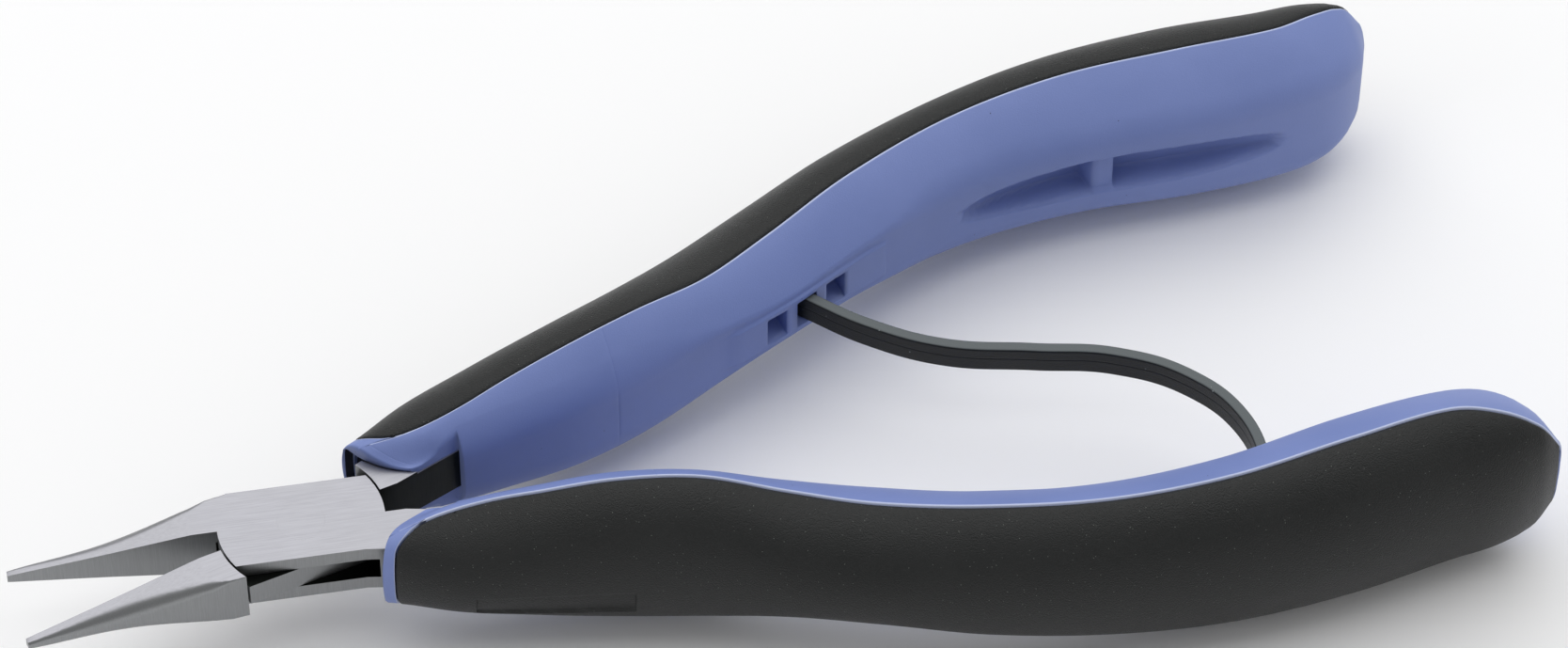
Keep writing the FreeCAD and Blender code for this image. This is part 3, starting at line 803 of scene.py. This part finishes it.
def stripTree():
    tree = bpy.data.node_groups.new("stripAlongPath", "GeometryNodeTree")
    for label, kind in (("Path", "Geometry"), ("Thickness", "Float"), ("Height", "Float"), ("Rounding", "Float"),
                        ("Groove", "Float"), ("Groove Half", "Float"), ("Groove At", "Float"), ("Steps", "Int"),
                        ("Finish", "Material")):
        tree.interface.new_socket(name=label, in_out="INPUT", socket_type="NodeSocket" + kind)
    tree.interface.new_socket(name="Strip", in_out="OUTPUT", socket_type="NodeSocketGeometry")
    entry, leave = tree.nodes.new("NodeGroupInput"), tree.nodes.new("NodeGroupOutput")
    link = tree.links.new
    even = addNode(tree, "GeometryNodeResampleCurve")
    link(entry.outputs["Path"], even.inputs["Curve"])
    link(entry.outputs["Steps"], even.inputs["Count"])
    upright = addNode(tree, "GeometryNodeSetCurveNormal", mode="Z_UP")
    link(even.outputs[0], upright.inputs[0])
    outline = addNode(tree, "GeometryNodeCurvePrimitiveQuadrilateral", mode="RECTANGLE")
    link(entry.outputs["Thickness"], outline.inputs[0])
    link(entry.outputs["Height"], outline.inputs[1])
    corners = addNode(tree, "GeometryNodeFilletCurve", mode="POLY")
    link(outline.outputs[0], corners.inputs["Curve"])
    link(entry.outputs["Rounding"], corners.inputs["Radius"])
    corners.inputs["Count"].default_value = 4
    dense = addNode(tree, "GeometryNodeResampleCurve")
    link(corners.outputs[0], dense.inputs["Curve"])
    dense.inputs["Count"].default_value = 140
    where = addNode(tree, "GeometryNodeInputPosition")
    parts = addNode(tree, "ShaderNodeSeparateXYZ")
    link(where.outputs[0], parts.inputs[0])
    away = maths(tree, "ABSOLUTE", maths(tree, "SUBTRACT", parts.outputs[1], entry.outputs["Groove At"]))
    low = maths(tree, "DIVIDE", away, entry.outputs["Groove Half"])
    dip = maths(tree, "MULTIPLY", maths(tree, "SUBTRACT", 1.0, low, True), entry.outputs["Groove"])
    inward = addNode(tree, "ShaderNodeCombineXYZ")
    side = maths(tree, "SIGN", parts.outputs[0])
    link(maths(tree, "MULTIPLY", side, maths(tree, "MULTIPLY", dip, -1.0)), inward.inputs[0])
    grooved = addNode(tree, "GeometryNodeSetPosition")
    link(dense.outputs[0], grooved.inputs["Geometry"])
    link(inward.outputs[0], grooved.inputs["Offset"])
    sweep = addNode(tree, "GeometryNodeCurveToMesh")
    link(upright.outputs[0], sweep.inputs["Curve"])
    link(grooved.outputs[0], sweep.inputs["Profile Curve"])
    sweep.inputs["Fill Caps"].default_value = True
    smooth = addNode(tree, "GeometryNodeSetShadeSmooth")
    link(sweep.outputs[0], smooth.inputs["Geometry"])
    real = addNode(tree, "GeometryNodeRealizeInstances")
    link(smooth.outputs[0], real.inputs[0])
    finish = addNode(tree, "GeometryNodeSetMaterial")
    link(real.outputs[0], finish.inputs["Geometry"])
    link(entry.outputs["Finish"], finish.inputs["Material"])
    link(finish.outputs[0], leave.inputs[0])
    return tree


def stripPiece(name, path, material):
    line = bpy.data.curves.new(name + "Path", "CURVE")
    line.dimensions = "3D"
    run = line.splines.new("BEZIER")
    run.bezier_points.add(len(path) - 1)
    for knot, point in zip(run.bezier_points, path):
        knot.co = point
        knot.handle_left_type = knot.handle_right_type = "AUTO"
    run.resolution_u = 24
    holder = bpy.data.objects.new(name + "Path", line)
    scene.collection.objects.link(holder)
    tree = stripTree()
    nodes = holder.modifiers.new("strip", "NODES")
    nodes.node_group = tree
    given = {"Thickness": spring["thickness"] * mm, "Height": spring["height"] * mm,
             "Rounding": spring["rounding"] * mm, "Groove": spring["groove"] * mm,
             "Groove Half": spring["grooveHalf"] * mm, "Groove At": spring["grooveAt"] * mm,
             "Steps": spring["steps"], "Finish": material}
    for socket in tree.interface.items_tree:
        if socket.name in given:
            nodes[socket.identifier] = given[socket.name]
    bpy.context.view_layer.update()
    mesh = bpy.data.meshes.new_from_object(holder.evaluated_get(bpy.context.evaluated_depsgraph_get()))
    mesh.name = name
    bpy.data.objects.remove(holder)
    piece = bpy.data.objects.new(name, mesh)
    scene.collection.objects.link(piece)
    return piece


path = springPath()
strip = stripPiece("returnSpring", path, springSkin)
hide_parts("return_spring")
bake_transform(strip)
print("spring built")


# Floor, lights, camera
studio = {"floorSize": 3.0, "floorColour": (0.93, 0.93, 0.935), "world": 0.40}
lights = (
    # name, place, size, power, colour
    ("overhead", (0.10, 0.30, 0.75), 1.40, 8.0, (1.0, 1.0, 1.0)),
    ("left", (-0.65, -0.10, 0.45), 0.45, 0.5, (0.98, 0.99, 1.0)),
    ("right", (0.75, -0.15, 0.40), 0.45, 0.5, (1.0, 0.995, 0.98)),
)
view = {"azimuth": -17.62, "elevation": 51.99, "roll": 0.279, "distance": 0.68287, "target": (0.05173, 0.00495, 0.0),
        "lens": 160.05, "shift": (-0.0106, 0.0327)}


def makeFloor(low):
    half = studio["floorSize"] / 2
    mesh = bpy.data.meshes.new("floor")
    corners = [(x * half, y * half, low) for x, y in ((-1, -1), (1, -1), (1, 1), (-1, 1))]
    mesh.from_pydata(corners, [], [(0, 1, 2, 3)])
    material, tree, shader, place = newMaterial("floorPaper", Roughness=0.9, Specular_IOR_Level=0.1)
    shader.inputs["Base Color"].default_value = (*studio["floorColour"], 1)
    mesh.materials.append(material)
    floor = bpy.data.objects.new("floor", mesh)
    scene.collection.objects.link(floor)


def aim(direction):
    return Vector(direction).to_track_quat("Z", "Y").to_matrix().to_4x4()


makeFloor(cadBox[0][2] - 0.0002)
for name, place, size, power, colour in lights:
    lamp = bpy.data.lights.new(name, "AREA")
    lamp.shape, lamp.size, lamp.energy, lamp.color = "SQUARE", size, power, colour
    holder = bpy.data.objects.new(name, lamp)
    scene.collection.objects.link(holder)
    holder.matrix_world = Matrix.Translation(place) @ aim(Vector(place) - Vector((0.05, 0, 0)))
world = bpy.data.worlds.new("studioAir")
world.use_nodes = True
world.node_tree.nodes["Background"].inputs[0].default_value = (1, 1, 1, 1)
world.node_tree.nodes["Background"].inputs[1].default_value = studio["world"]
scene.world = world

turn, rise, roll = (math.radians(view[key]) for key in ("azimuth", "elevation", "roll"))
back = Vector((math.sin(turn) * math.cos(rise), -math.cos(turn) * math.cos(rise), math.sin(rise)))
right = Vector((math.cos(turn), math.sin(turn), 0.0))
up = back.cross(right)
camera = bpy.data.objects.new("camera", bpy.data.cameras.new("camera"))
scene.collection.objects.link(camera)
camera.data.lens = view["lens"]
camera.data.shift_x, camera.data.shift_y = view["shift"]
axes = (right * math.cos(roll) + up * math.sin(roll), up * math.cos(roll) - right * math.sin(roll), back)
stand = Vector(view["target"]) + back * view["distance"]
camera.matrix_world = Matrix.Translation(stand) @ Matrix(axes).transposed().to_4x4()
scene.camera = camera
scene.view_settings.view_transform = "Standard"
print("stage built")
